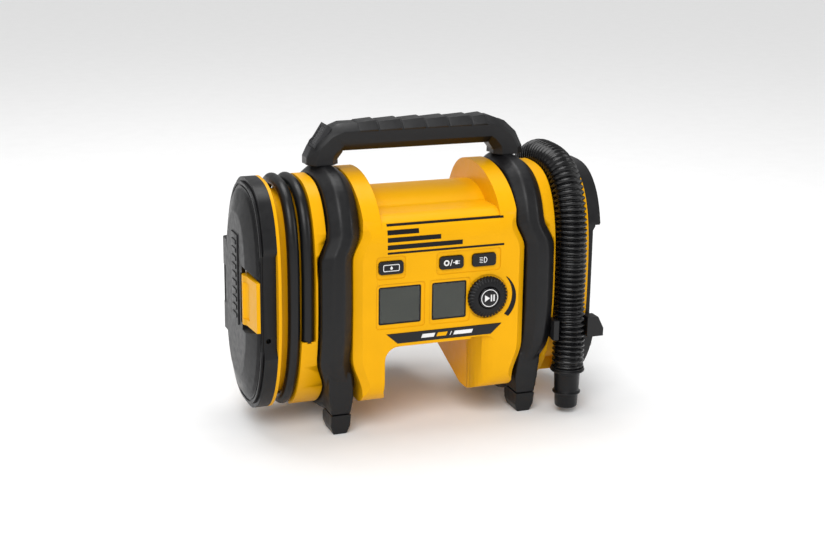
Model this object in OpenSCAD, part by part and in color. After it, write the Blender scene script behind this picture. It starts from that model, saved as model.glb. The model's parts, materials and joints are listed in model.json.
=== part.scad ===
// Cordless inflator with two hose drums, a storage door and a battery pack.
// Millimetres. +Z is up, -Y is the front, -X is the end with the storage door.

/* [Body] */
// Distance from the centre plane to the flat front panel
body_front = 79; // [77:0.5:80]
// Distance from the centre plane to the flat rear panel
body_back = 70; // [66:0.5:71]
// Height of the cheeks' top
cheek_top = 247; // [244:1:249]
// Half distance between the two cheeks
cheek_x = 60; // [56:1:64]
// Height of the shoulder between the front panel and the barrel
ledge_z = 214; // [210:1:216]
// Radius of the barrel across the top
barrel_r = 60; // [56:1:60]
// Height of the arch under the body
arch_z = 88; // [80:1:90]
// Half width of the arch on the door's side
arch_left = 57; // [54:1:60]
// Half width of the arch on the other side
arch_right = 36; // [34:1:40]
// Height of the two blocks' bottom
block_z = 30; // [28:1:34]
// Wall thickness of the case shells
wall = 3; // [2.5:0.1:3.5]

/* [Drums] */
// Height of the drums' centre
centre_z = 131; // [130:1:132]
// Front half depth of a drum
drum_front = 71; // [70:0.5:72]
// Back half depth of a drum
drum_back = 70; // [68:0.5:71]
// Half height of a drum
drum_half = 113; // [110:1:114]
// Distance from the middle to the outer face of a rim
rim_x = 170.7; // [170:0.1:172]
// Depth of the groove for the thin hose
air_groove = 13; // [12:0.5:14]
// Depth of the groove for the wide hose
volume_groove = 17; // [16:0.5:18]

/* [Frames] */
// Width of a frame
frame_w = 29.6; // [28:0.2:30]
// Distance from the middle to a frame's centre line, top and bottom
frame_x = 94; // [93:0.5:95]
// Bow of a frame outwards at its waist
bow = 9.6; // [8:0.2:10]
// Radial depth of a frame
frame_depth = 24; // [20:1:25]

/* [Handle] */
// Height of the handle's top
handle_top = 291; // [288:1:294]
// Height of the grip bar
bar_h = 26; // [24:1:28]
// Depth of the handle from front to back
handle_d = 31; // [28:1:32]

/* [Hoses] */
// Outer diameter of the thin air hose
air_d = 11.5; // [10:0.5:12]
// Outer diameter of the wide corrugated hose
volume_d = 32; // [30:0.5:32]

/* [Battery] */
// Width of the battery pack
pack_w = 74; // [70:1:76]
// Height of the battery pack
pack_h = 114; // [108:1:118]
// Depth of the pack behind its rails
pack_d = 46; // [40:1:50]

/* [Hidden] */

yellow = [0.96, 0.68, 0.03];
black = [0.09, 0.09, 0.10];
rubber = [0.06, 0.06, 0.065];
grey = [0.30, 0.31, 0.32];
steel = [0.70, 0.71, 0.73];

gap = 0.3; // clearance between neighbouring shells
frame_gap = 1.8; // clearance beside the frames, which bow outwards
running = 0.05; // radial clearance of a running fit
flange_x = 158; // outer face of a drum's outer flange
groove_out = 155; // outer wall of a drum's groove
groove_in = 122; // inner wall of a drum's groove
air_lane = 128.4; // centre line of the hose's first turn
air_lane_2 = 141.8; // centre line of the hose's second turn
air_start_y = -62.6; // where the thin hose leaves its housing
hose_x = 138.5; // centre line of the wide hose
socket_y = drum_back - 4.8; // axis of the socket that the wide hose leaves
nozzle_x = hose_x - 1.5; // axis of the nozzle
nozzle_y = -76;
frame_front = 83; // front half depth of a frame's loop
frame_back = 82; // back half depth of a frame's loop
frame_half = 122; // half height of a frame's loop
foot_h = 20.5; // height of a rubber foot
foot_y = 52; // distance from the centre plane to a foot's middle
hinge_y = 71; // the door's hinge line
hinge_x = 171.5;
hinge_z = 123; // middle of the hinge's height
dial_x = 46.3; // the dial's axis and radius
dial_z = 129.4;
dial_r = 20.2;
dial_proud = 6; // how far the dial stands out of the panel
start_proud = 7.2; // how far the start button stands out of it
button_z = 166.2; // height of the three buttons' row
window_z0 = 110.4; // bottom and top of the two windows
window_z1 = 147.3;
crank_z = 155; // height of the crank's axis
gear_teeth = 44;
pinion_teeth = 12;
tooth_module = 1;
throw = 4; // offset of the crank pin
motor_z = crank_z - (gear_teeth + pinion_teeth) / 2 * tooth_module;
fan_x = 24; // left face of the fan housing
fan_end = 50; // its right face
fan_y = 8; // the fan's axis
fan_z = 142;
fan_r = 38;
pack_z = 62; // height of the pack's bottom
lip_x = 35.5; // inner edge of the dock's lips
channel_x = 39; // outer wall of the dock's channels
rail_y = body_back + 6.2; // where the pack's rail block starts
pack_y = rail_y + 10; // where the pack's wide part starts
release_proud = 1.5; // how far the release button stands out of the pack
depth_front = body_front + start_proud; // the box is centred on the part without its hoses
depth_back = pack_y + pack_d + release_proud;
shift_y = (depth_front - depth_back) / 2;

// Exponents of the drum outline: front top, front bottom, back top, back bottom
drum_round = [3.0, 2.3, 2.0, 2.6];
back_round = [2.6, 2.6, 2.6, 2.6]; // the same for the body's back

// An oval in the YZ plane, as [y, z], with its own roundness in each quarter
function quarter(c, s, r) = c < 0 ? (s > 0 ? r[0] : r[1]) : (s > 0 ? r[2] : r[3]);
function power(v, p) = sign(v) * pow(abs(v), p);
function oval_point(a, front, back, half, r) =
    let (c = cos(a), s = sin(a), p = 2 / quarter(c, s, r))
    [power(c, p) * (c < 0 ? front : back), centre_z + power(s, p) * half];
function oval(front, back, half, r = drum_round, n = 64, a0 = 0, a1 = 360) =
    [for (i = [0 : n - (a1 - a0 == 360 ? 1 : 0)])
        oval_point(a0 + (a1 - a0) * i / n, front, back, half, r)];
function drum_oval(inset) = oval(drum_front - inset, drum_back - inset, drum_half - inset);
function arc(x, y, r, a0, a1, n = 8) =
    [for (i = [0 : n]) let (a = a0 + (a1 - a0) * i / n) [x + r * cos(a), y + r * sin(a)]];

// Smooth step from 0 to 1 between a and b
function step(z, a, b) = let (t = min(1, max(0, (z - a) / (b - a)))) t * t * (3 - 2 * t);
function bow_at(z) = frame_x + bow * (step(z, 42, 78) - step(z, 174, 200));

// Extrusions of [y, z] outlines along X, [x, z] outlines along Y and [x, y] outlines along Z
module along_x(x0, x1, points) {
    translate([x0, 0, 0]) rotate([90, 0, 90]) linear_extrude(x1 - x0) polygon(points);
}
module along_y(y0, y1, points) {
    translate([0, y1, 0]) rotate([90, 0, 0]) linear_extrude(y1 - y0) polygon(points);
}
module rod_x(x0, x1, y, z, r) {
    translate([x0, y, z]) rotate([0, 90, 0]) cylinder(h = x1 - x0, r = r, $fn = 48);
}
module rod_y(y0, y1, x, z, r) {
    translate([x, y1, z]) rotate([90, 0, 0]) cylinder(h = y1 - y0, r = r, $fn = 48);
}
module rod_z(z0, z1, x, y, r) {
    translate([x, y, z0]) cylinder(h = z1 - z0, r = r, $fn = 48);
}
module along_z(z0, z1, points) {
    translate([0, 0, z0]) linear_extrude(z1 - z0) polygon(points);
}
module block(lo, hi) {
    translate(lo) cube(hi - lo);
}
// A plate with round corners that faces the front
function rounded(x0, x1, z0, z1, r) = concat(arc(x1 - r, z1 - r, r, 0, 90, 5),
    arc(x0 + r, z1 - r, r, 90, 180, 5), arc(x0 + r, z0 + r, r, 180, 270, 5),
    arc(x1 - r, z0 + r, r, 270, 360, 5));
module plate(x0, x1, z0, z1, y0, y1, r) {
    along_y(y0, y1, rounded(x0, x1, z0, z1, r));
}
// A ring of points swept through rings, closed at its ends or into a loop
module skin(rings, loop = false) {
    n = len(rings[0]);
    m = len(rings);
    last = loop ? m - 1 : m - 2;
    sides = [for (i = [0 : last]) for (j = [0 : n - 1])
        [i * n + j, ((i + 1) % m) * n + j, ((i + 1) % m) * n + (j + 1) % n, i * n + (j + 1) % n]];
    ends = loop ? [] : [[for (j = [0 : n - 1]) j], [for (j = [n - 1 : -1 : 0]) (m - 1) * n + j]];
    polyhedron(concat([for (ring = rings) for (p = ring) p], []), concat(sides, ends));
}
// Everything is drawn about the body's own centre plane and moved once
module place() {
    translate([0, shift_y, 0]) children();
}

// ---------------------------------------------------------------- case

lower_r = 25; // round of the body's lower edges
flat_top = 190; // the front is flat up to here, then curves back to the cheeks' top
function body_profile(w) = concat(
    oval(body_front - w, body_back - w, cheek_top - centre_z - w, back_round, 20, 0, 90),
    [for (i = [1 : 20]) let (a = 90 + i * 4.5)
        [(body_front - w) * cos(a), flat_top + (cheek_top - flat_top - w) * sin(a)]],
    arc(-body_front + lower_r, block_z + lower_r, lower_r - w, 180, 270),
    arc(body_back - lower_r, block_z + lower_r, lower_r - w, 270, 360));
side_heights = concat([5], [for (z = [42 : 6 : 78]) z], [for (z = [174 : 4.333 : 200.1]) z], [252]);
function body_outline(w) = concat(
    [for (z = side_heights) [bow_at(z) - frame_w / 2 - frame_gap - w, z]],
    [for (i = [len(side_heights) - 1 : -1 : 0])
        let (z = side_heights[i]) [-(bow_at(z) - frame_w / 2 - frame_gap - w), z]]);

panel_round = 20; // round between the front panel and the shoulder
function above_barrel(w) = let (r = barrel_r - w, z = ledge_z - w, base = ledge_z - 46.5,
        a = asin((z - base) / r)) concat(
    [[-95, 262], [-95, ledge_z - panel_round]],
    arc(-body_front + panel_round, ledge_z - panel_round, panel_round - w, 180, 90),
    arc(0, base, r, 180 - a, a, 24),
    [[95, z], [95, 262]]);
module arch(w) {
    corner = 14;
    along_y(-100, 100, concat([[arch_right + w, 0], [arch_right + w, arch_z + w]],
        arc(-arch_left + corner, arch_z - corner, corner + w, 90, 180),
        [[-arch_left - w, block_z + 12], [-arch_left + 6, block_z - 4], [-arch_left + 6, 0]]));
    right_corner(w);
}
// The block beside the arch has a wide round front corner and a sloping underside
module right_corner(w) {
    r = 23;
    x = arch_right + r;
    y = -body_front + r;
    top = arch_z + w + 1.5;
    soft = 15;
    difference() {
        along_y(-body_front - 2, y, concat([[arch_right - 5, 0], [arch_right - 5, top]],
            arc(x - soft, top - soft, soft, 90, 0), [[x, 0]]));
        rod_z(-1, top + 1, x, y, r - w);
    }
    along_x(arch_right - 5, 95, [[-40, block_z + w], [25, block_z + 24 + w],
        [52 - w, block_z + 24 + w], [52 - w, arch_z + w], [200, arch_z + w], [200, 0], [-40, 0]]);
}
// The panel's two long edges are bevelled beside the frames
bevel_w = 7.5;
bevel_d = 6;
module side_bevels(w) {
    for (s = [-1, 1]) skin([for (z = side_heights)
        let (x = bow_at(z) - frame_w / 2 - frame_gap - w, y = -body_front + w,
            inner = [s * (x - bevel_w * 1.2), y - bevel_d * 0.2, z],
            outer = [s * (x + bevel_w * 0.4), y + bevel_d * 1.4, z],
            front = [s * (x + bevel_w * 0.4), y - bevel_d, z])
        s > 0 ? [inner, front, outer] : [inner, outer, front]]);
}
module body(w) {
    difference() {
        intersection() {
            along_x(-98, 98, body_profile(w));
            along_y(-98, 98, body_outline(w));
        }
        along_x(-cheek_x - w, cheek_x + w, above_barrel(w));
        arch(w);
        side_bevels(w);
    }
}
screw_places = [[-69, 104], [69, 104], [-69, 184], [69, 184]];
module each_screw() {
    for (p = screw_places) translate([p[0], 0, p[1]]) children();
}
// The three buttons, as their centre lines
button_places = [-51.6, 9.1, 42.5];
button_w = 24.4;
button_h = 12.6;
module button_slots(y0, y1, more) {
    for (x = button_places)
        plate(x - button_w / 2 - more, x + button_w / 2 + more,
            button_z - button_h / 2 - more, button_z + button_h / 2 + more, y0, y1, 3.2 + more);
}
window_places = [[-63.5, -20.9], [-10, 25.3]];
module front_case() {
    face = -body_front;
    color(yellow) difference() {
        union() {
            difference() {
                body(0);
                body(wall);
            }
            intersection() {
                body(0.5);
                each_screw() rod_y(face, 0, 0, 0, 4.6);
            }
        }
        block([-120, 0, -1], [120, 120, 300]);
        each_screw() rod_y(-24, 1, 0, 0, 1.5);
        for (w = window_places) {
            plate(w[0], w[1], window_z0, window_z1, face - 1, face + wall + 1, 2);
            plate(w[0] - 2.5, w[1] + 3.5, window_z0 - 4, window_z1 + 3, face - 1, face + 0.9, 3);
        }
        plate(-66, -37, 155, 177, face - 1, face + 0.9, 3.5);
        plate(-6, 60, 155, 177, face - 1, face + 0.9, 3.5);
        button_slots(face - 1, face + wall + 1, 0.2);
        rod_y(face - 1, face + 0.9, dial_x, dial_z, dial_r + 1.6);
        rod_y(face - 1, face + wall + 1, dial_x, dial_z, 8 + running);
        trim(face - 1, face + 0.6, 0.1);
        difference() {
            marks(face - 1, face + 12, 0.15);
            body(0.5);
        }
        front_vents();
    }
}
// Slots through the underside of the block beside the arch
module front_vents() {
    for (i = [0 : 3]) block([62, -65 + i * 7, block_z - 2], [74, -62 + i * 7, block_z + 6]);
}
module rear_case() {
    color(yellow) difference() {
        union() {
            difference() {
                body(0);
                body(wall);
            }
            intersection() {
                body(0.5);
                union() {
                    each_screw() rod_y(0, body_back, 0, 0, 4.6);
                    each_screw() rod_y(body_back - 18, body_back, 0, 0, 5.8);
                }
            }
        }
        block([-120, -120, -1], [120, 0, 300]);
        each_screw() rod_y(-1, 100, 0, 0, 1.8);
        each_screw() rod_y(body_back - 14, 100, 0, 0, 4);
        // cooling slots
        for (s = [-1, 1]) for (i = [0 : 6])
            block([s * 50 - 6, body_back - 8, 96 + i * 9], [s * 50 + 6, body_back + 2, 100 + i * 9]);
    }
}
module case_screws() {
    color(steel) {
        each_screw() difference() {
            union() {
                rod_y(-22, body_back - 14, 0, 0, 1.45);
                rod_y(body_back - 14, body_back - 11, 0, 0, 3.4);
            }
            rod_y(body_back - 12.6, body_back, 0, 0, 1.3);
        }
        for (p = cover_screws) difference() {
            union() {
                rod_x(161, end_x + 1.4, p[0], p[1], 1.45);
                rod_x(end_x + 1.4, end_x + 4, p[0], p[1], 3.2);
            }
            rod_x(end_x + 2.6, end_x + 5, p[0], p[1], 1.3);
        }
    }
}
// A plate inside the body that carries the two motors and the cylinder
chassis_z = arch_z + wall;
sleeve_r = 16; // outer radius of the cylinder
module chassis() {
    top = chassis_z + 3;
    color(grey) difference() {
        union() {
            block([-74, -52, chassis_z], [74, 56, top]);
            // cradles of the two motors
            for (x = [-60, -34]) block([x, -14, top - 1], [x + 6, 14, motor_z]);
            block([54, fan_y - 12, top - 1], [60, fan_y + 12, fan_z]);
            // bearing plate of the gears
            block([-20, -9, top - 1], [-13, 9, crank_z + 9]);
            // two posts and a ring that hold the cylinder
            for (x = [-18, 14]) block([x, 19, top - 1], [x + 4, 25, 192]);
            block([-18, 12, 184], [18, 25, 192]);
            rod_z(184, 192, 0, 0, sleeve_r + 4);
            // rest of the fan housing
            block([fan_x + 2, fan_y + 30, top - 1], [fan_x + 10, fan_y + 40, fan_z - 20]);
        }
        rod_x(-61, -27, 0, motor_z, motor_r + running);
        rod_x(-21, -12, 0, motor_z, 3.5);
        rod_x(-21, -12, 0, crank_z, 5.02);
        rod_z(183, 193, 0, 0, sleeve_r + 0.03);
        rod_x(50, 75, fan_y, fan_z, fan_motor_r + running);
        rod_x(fan_x - 1, fan_x + 26, fan_y, fan_z, fan_r + 5.1);
    }
}

// ---------------------------------------------------------------- frames

// Section of the loop: [across, depth], with a flat ridge between two bevels
frame_section = [[-frame_w / 2, frame_depth], [-frame_w / 2, 7], [-5, 0], [5, 0],
    [frame_w / 2, 7], [frame_w / 2, frame_depth]];
function loop_ring(side, a) = [for (s = frame_section)
    let (d = s[1], p = oval_point(a, frame_front - d, frame_back - d, frame_half - d, drum_round))
    [side * (bow_at(p[1]) + s[0]), p[0], p[1]]];
module frame(side) {
    rings = [for (i = [0 : 71]) loop_ring(side, i * 5)];
    color(rubber) {
        skin(side < 0 ? rings : [for (i = [71 : -1 : 0]) rings[i]], true);
        for (s = [-1, 1]) leg(side, s);
    }
}
// A leg fills the corner between the loop and a foot
module leg(side, s) {
    difference() {
        intersection() {
            along_x(side > 0 ? 80 : -110, side > 0 ? 110 : -80,
                [[s * 70, 64], [s * (foot_y + 15), foot_h + 0.05], [s * (foot_y - 15), foot_h + 0.05],
                [s * (foot_y - 22), 30], [s * (foot_y - 20), 50]]);
            along_y(-90, 90, [[side * 106, foot_h], [side * 108.6, 40], [side * 110, 66],
                [side * 87, 66], [side * 84, 40], [side * 87, foot_h]]);
        }
        along_x(-120, 120, hub_oval(-gap));
    }
}
module foot(side, s) {
    color(rubber) difference() {
        intersection() {
            along_x(side > 0 ? 80 : -110, side > 0 ? 110 : -80,
                [[s * (foot_y + 15.4), foot_h], [s * (foot_y + 11), 0], [s * (foot_y - 15), 0],
                [s * (foot_y - 16), foot_h]]);
            along_y(-90, 90, [[side * 106.2, foot_h], [side * 106.2, 8], [side * 103, 0],
                [side * 90, 0], [side * 86.8, 8], [side * 86.8, foot_h]]);
        }
        along_x(-120, 120, oval(frame_front + gap, frame_back + gap, frame_half + gap));
        for (i = [0 : 3]) along_x(-110, 110, [[s * (foot_y + 16), 4 + i * 4],
            [s * (foot_y + 11.6 + i * 0.86), 4.6 + i * 4], [s * (foot_y + 16), 5.2 + i * 4]]);
    }
}

// ---------------------------------------------------------------- handle

// Centre line of the handle in [x, z, half thickness], from the left root to the right
bar_z = handle_top - bar_h / 2;
handle_line = [[-96, 238, 15.5], [-96, 258, 15.5], [-92.5, 266, 14.5], [-84, 274.5, 13.6],
    [-76, bar_z, bar_h / 2], [0, bar_z, bar_h / 2]];
function mirrored(line) = concat(line, [for (i = [len(line) - 2 : -1 : 0])
    [-line[i][0], line[i][1], line[i][2]]]);
handle_path = mirrored(handle_line);
function unit2(v) = v / norm(v);
function path_out(i) = let (n = len(handle_path), a = handle_path[max(0, i - 1)],
        b = handle_path[min(n - 1, i + 1)], t = unit2([b[0] - a[0], b[1] - a[1]])) [-t[1], t[0]];
// Eight sided section; low and high are the insets of its inner and outer faces
handle_y = 1;
function handle_ring(i, side_in, low, high) =
    let (p = handle_path[i], o = path_out(i), h0 = -p[2] + low, h1 = p[2] - high,
        d = handle_d / 2 - side_in, c = 7 - side_in / 2)
    [for (q = [[h0, -d + c], [h0 + c, -d], [h1 - c, -d], [h1, -d + c],
        [h1, d - c], [h1 - c, d], [h0 + c, d], [h0, d - c]])
        [p[0] + o[0] * q[0], handle_y + q[1], p[1] + o[1] * q[0]]];
function is_bar(i) = i > 3 && i < len(handle_path) - 4;
module handle_tube(side_in, low, high_bar, high_leg) {
    skin([for (i = [len(handle_path) - 1 : -1 : 0])
        handle_ring(i, side_in, low, is_bar(i) ? high_bar : high_leg)]);
}
// The handle starts on top of the frames
module frame_space(more) {
    for (s = [-1, 1]) along_x(s > 0 ? 70 : -120, s > 0 ? 120 : -70,
        oval(frame_front + more, frame_back + more, frame_half + more));
}
// The work light's own axes: its middle on the left shoulder of the handle, facing outwards
module at_light() {
    translate([-96.5, handle_y - 1, 278.7]) rotate([0, -57, 0]) children();
}
light_l = 25.5;
light_w = 20;
// A block about the light's own middle, smaller or larger all round than the light
module light_block(more, z0, z1) {
    at_light() block([-light_l / 2 - more, -light_w / 2 - more, z0],
        [light_l / 2 + more, light_w / 2 + more, z1]);
}
module handle_core() {
    color(grey) difference() {
        handle_tube(3, 3, 3, 0);
        frame_space(0.1);
        light_block(0.1, -3.3, 20);
    }
}
module handle_grip() {
    color(rubber) difference() {
        handle_tube(0, 0, 0, 0.4);
        handle_tube(2.95, 2.95, 2.95, -0.5);
        frame_space(0.1);
        light_block(0.1, -3.3, 20);
        for (i = [-2 : 3]) translate([i * 22 - 6, handle_y, handle_top])
            rotate([0, 45, 0]) cube([2.4, handle_d + 4, 2.4], center = true);
    }
}
module light_bezel() {
    color(black) difference() {
        light_block(0, -3.2, 2.4);
        light_block(-3, -1.5, 3);
    }
}
module light_lens() {
    color([0.8, 0.85, 0.9]) light_block(-3.1, 0.6, 1.6);
}
module light_board() {
    color("white") {
        light_block(-3.1, -1.5, -0.6);
        at_light() for (i = [-1 : 1]) translate([i * 6, 0, -0.3]) cube([4, 4, 1], center = true);
    }
}

// ---------------------------------------------------------------- front panel

module window(i) {
    w = window_places[i];
    color([0.16, 0.18, 0.16]) plate(w[0] + 0.1, w[1] - 0.1, window_z0 + 0.1, window_z1 - 0.1,
        -body_front + 1.3, -body_front + 2.8, 1.9);
}
module display(i) {
    w = window_places[i];
    color([0.45, 0.5, 0.44]) block([w[0] + 1, -body_front + wall + 0.4, window_z0 + 1],
        [w[1] - 1, -body_front + wall + 5.4, window_z1 - 1]);
}
module control_board() {
    y = -body_front + wall + 5.6;
    color("darkgreen") {
        difference() {
            union() {
                block([-70, y, 98], [70, y + 1.6, 178]);
                block([-30, y + 1.5, 100], [-10, y + 6, 108]);
                block([24, y + 1.5, 158], [40, y + 5, 172]);
                rod_y(y - 2, y + 0.1, dial_x, dial_z, 11);
                for (x = button_places)
                    block([x - 4, y - 3.2, button_z - 4], [x + 4, y + 0.1, button_z + 4]);
            }
            rod_y(y - 3, y - 0.45, dial_x, dial_z, 8.4);
            each_screw() rod_y(-100, 0, 0, 0, 5);
        }
        // the start button's switch stands inside the dial
        rod_y(-body_front - 0.4, y, dial_x, dial_z, 3.5);
    }
}
// Plain printed marks: two long bars, three short ones between them, and the dial's arc
module marks(y0, y1, more) {
    ends = more * 4;
    for (z = [179, 205.2])
        block([-54.9 - more, y0, z - more], [62.9 + more, y1, z + 1.8 + more]);
    for (i = [0 : 2]) block([-54.9 - more, y0, 183.4 + i * 7 - more],
        [20 - i * 22 + more, y1, 187.6 + i * 7 + more]);
    along_y(y0, y1, concat(arc(dial_x + 4.2, dial_z - 3.2, 26.6 + more, 52 + ends, -45 - ends, 14),
        arc(dial_x - 0.3, dial_z - 0.3, 27 - more, -45 - ends, 41 + ends, 14)));
}
module panel_marks() {
    color(black) intersection() {
        marks(-body_front - 1, -body_front + 12, 0);
        difference() {
            body(-0.15);
            body(0.35);
        }
    }
}
module trim(y0, y1, more) {
    along_y(y0, y1, [[-55.7 - more, 101.2 + more], [62.3 + more, 101.2 + more],
        [51.2 + more, 91.3 - more], [-44.5 - more, 91.3 - more]]);
}
module trim_plate() {
    color(black) trim(-body_front - 0.5, -body_front + 0.5, 0);
}
module dial() {
    face = -body_front;
    color(rubber) difference() {
        union() {
            rod_y(face - dial_proud, face + 0.6, dial_x, dial_z, dial_r - 1);
            for (i = [0 : 35]) translate([dial_x, 0, dial_z]) rotate([0, i * 10, 0])
                block([dial_r - 2, face - 5.2, -0.9], [dial_r, face + 0.2, 0.9]);
            rod_y(face + 0.5, face + wall + 5, dial_x, dial_z, 8);
        }
        rod_y(face - 10, face - 3.4, dial_x, dial_z, 10.6);
        rod_y(face - 10, face + 20, dial_x, dial_z, 4 + running);
        for (i = [0 : 11]) translate([dial_x, 0, dial_z]) rotate([0, i * 30, 0])
            block([13, face - 7, -0.6], [17.5, face - 5.5, 0.6]);
    }
}
module start_button() {
    face = -body_front;
    color(black) union() {
        rod_y(face - start_proud, face - 5, dial_x, dial_z, 10.5);
        rod_y(face - 5.1, face - 2, dial_x, dial_z, 4);
    }
}
module push_button(i) {
    x = button_places[i];
    face = -body_front;
    color(black) union() {
        plate(x - button_w / 2, x + button_w / 2, button_z - button_h / 2, button_z + button_h / 2,
            face - 1, face + wall + 0.1, 3.2);
        plate(x - button_w / 2 - 1, x + button_w / 2 + 1, button_z - button_h / 2 - 1,
            button_z + button_h / 2 + 1, face + wall + 0.05, face + wall + 1.1, 3.2);
    }
}

// ---------------------------------------------------------------- drums

// Space of a frame and everything on its body side, with a little clearance
module frame_side(side) {
    half = frame_w / 2 + frame_gap;
    along_y(-120, 120, concat([for (z = side_heights) [side * (bow_at(z) + half), z]],
        [[0, 252], [0, 5]]));
}
module on_side(side) {
    mirror([side > 0 ? 0 : 1, 0, 0]) children();
}
// A drum: outer flange, grooved core, inner flange and a hollow hub inside the frame's loop
hub_wall = 4;
module drum(groove) {
    along_x(groove_out, flange_x, drum_oval(0));
    along_x(groove_in - 1, groove_out + 1, drum_oval(groove));
    difference() {
        along_x(frame_x, groove_in, drum_oval(0));
        frame_side(1);
    }
    difference() {
        along_x(78, groove_in, hub_oval(0));
        along_y(-120, 120, body_outline(0));
    }
}
function hub_oval(inset) = let (d = frame_depth + gap + inset)
    oval(frame_front - d, frame_back - d, frame_half - d);
// The hub is open towards the body, and the space behind the end is open towards the end
module drum_hollows(groove) {
    along_x(70, groove_in + 2, hub_oval(hub_wall + 2));
    along_x(groove_in + 6, 200, drum_oval(groove + hub_wall));
}
module left_drum() {
    color(yellow) on_side(-1) difference() {
        union() {
            difference() {
                union() {
                    drum(air_groove);
                    // the housing that the thin hose leaves from
                    intersection() {
                        along_x(groove_in - 1, air_lane + 7.3, drum_oval(0));
                        block([100, -90, 0], [140, -20, 98]);
                    }
                }
                drum_hollows(air_groove);
            }
            // a shelf with two pockets for the adaptors
            block([groove_in + 5, -20, 58], [150, 28, 70]);
        }
        rod_z(96.5, 99, air_lane, air_start_y, air_d / 2 + 0.85);
        rod_z(63, 71, shelf_x, needle_y, 4.55);
        rod_z(63, 71, shelf_x, cone_y, 7.05);
    }
}
module right_drum() {
    color(yellow) difference() {
        union() {
            drum(volume_groove);
            // the housing that the wide hose leaves from
            intersection() {
                along_x(groove_in - 1, groove_out + 1, drum_oval(0));
                block([100, 0, 0], [160, 90, 78]);
            }
        }
        drum_hollows(volume_groove);
        rod_z(55, 79, hose_x, socket_y, 17.3);
    }
}
// The rims and covers are cut back at the front, so that a finger reaches the latch
notch = [[-100, 191], [-drum_front - 1, 191], [-63, 181], [-63, 92], [-drum_front - 1, 75],
    [-100, 75]];
cover_screws = [[-50, 60], [48, 60], [-50, 205], [44, 200]];
// The outer edge slants back behind the notch
module cut_back() {
    along_z(80, 188, [[rim_x - 5, -80], [rim_x - 5, -60], [rim_x + 15, -28], [rim_x + 15, -80]]);
}
module rim(side) {
    color(black) on_side(side) difference() {
        union() {
            along_x(flange_x + 0.1, rim_x, drum_oval(0));
            if (side < 0) {
                rod_z(hinge_z - 19, hinge_z + 19, hinge_x, hinge_y, 3);
                block([164, 60, hinge_z - 19], [rim_x, hinge_y, hinge_z + 19]);
            }
        }
        along_x(150, 180, oval(51, 50, 92));
        along_x(150, 180, notch);
        if (side > 0) {
            cut_back();
            for (p = cover_screws) rod_x(150, 180, p[0], p[1], 1.5);
        }
        if (side < 0) {
            rod_y(-70, -57, 166, 101, 2.4);
            rod_z(hinge_z - 30, hinge_z + 30, hinge_x, hinge_y, 1.55);
            for (z = [hinge_z - 51, hinge_z + 19.2])
                block([hinge_x - 6, hinge_y - 6.5, z], [hinge_x + 6, hinge_y + 6, z + 31.8]);
        }
    }
}
// A domed end: a flat rim with two grooves, then a bevelled plateau
end_x = rim_x + 0.3;
plateau_x = end_x + 10.2;
module dome(plateau_in) {
    difference() {
        union() {
            along_x(end_x, end_x + 2.4, drum_oval(4));
            skin([for (q = [[end_x + 2.3, 10], [end_x + 4.6, 12], [plateau_x - 0.6, plateau_in - 2],
                    [plateau_x, plateau_in]])
                [for (p = drum_oval(q[1])) [q[0], p[0], p[1]]]]);
            // raised plate with plain ribs
            block([plateau_x - 0.5, -14, 104], [plateau_x + 1.2, 8, 192]);
            for (i = [0 : 9])
                block([plateau_x + 1, -10, 110 + i * 8], [plateau_x + 2, 4, 114 + i * 8]);
        }
        difference() {
            along_x(end_x + 1.4, end_x + 5, drum_oval(6.4));
            along_x(end_x, end_x + 6, drum_oval(8.2));
        }
    }
}
latch_y0 = -62;
latch_y1 = -22;
latch_z0 = 110;
latch_z1 = 158;
module storage_door() {
    color(black) on_side(-1) difference() {
        union() {
            dome(33);
            for (z = [hinge_z - 47, hinge_z + 19.3]) {
                rod_z(z, z + 27.7, hinge_x, hinge_y, 3);
                block([end_x, 58, z], [end_x + 4, hinge_y, z + 27.7]);
            }
        }
        // hollow behind the plateau
        along_x(end_x - 1, end_x + 5.2, oval(36, 35, 76));
        rod_z(hinge_z - 60, hinge_z + 60, hinge_x, hinge_y, 1.55);
        block([hinge_x - 6, hinge_y - 7, hinge_z - 19.3], [hinge_x + 6, hinge_y + 6, hinge_z + 19.3]);
        // the notch at the front, and the pocket of the latch
        along_x(150, 200, notch);
        block([end_x + 2.6, -90, latch_z0 - 0.3], [plateau_x + 3, latch_y1 + 0.3, latch_z1 + 0.3]);
        along_y(-90, latch_y1 - 4, [[end_x + 3, latch_z1 - 2], [plateau_x + 3, latch_z1 - 2],
            [plateau_x + 3, latch_z1 + 10], [end_x + 3, latch_z1 + 1]]);
        along_y(-90, latch_y1 - 4, [[end_x + 3, latch_z0 + 2], [plateau_x + 3, latch_z0 + 2],
            [plateau_x + 3, latch_z0 - 10], [end_x + 3, latch_z0 - 1]]);
        rod_z(latch_z0 - 7, latch_z1 + 7, latch_pin_x, latch_pin_y, 1.25);
    }
}
latch_pin_x = end_x + 5.4;
latch_pin_y = latch_y1 - 3.2;
module door_latch() {
    color(yellow) on_side(-1) difference() {
        along_z(latch_z0, latch_z1, concat([[end_x + 2.9, latch_y0 - 3]],
            arc(latch_pin_x, latch_pin_y, 2.5, 180, 0, 8),
            [[end_x + 10.2, latch_y1 - 5], [end_x + 11.2, latch_y1 - 8], [end_x + 11, latch_y1 - 11.5],
            [end_x + 8.6, latch_y1 - 15], [end_x + 8, -46], [end_x + 6.4, latch_y0 - 3]]));
        // recess beside the finger lip
        rod_z(latch_z0 + 6, latch_z1 - 6, end_x + 15.6, latch_y1 - 18, 9);
        rod_z(latch_z0 - 1, latch_z1 + 1, latch_pin_x, latch_pin_y, 1.25);
    }
}
module latch_pin() {
    color(steel) on_side(-1) rod_z(latch_z0 - 6, latch_z1 + 6, latch_pin_x, latch_pin_y, 1.2);
}
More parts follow.
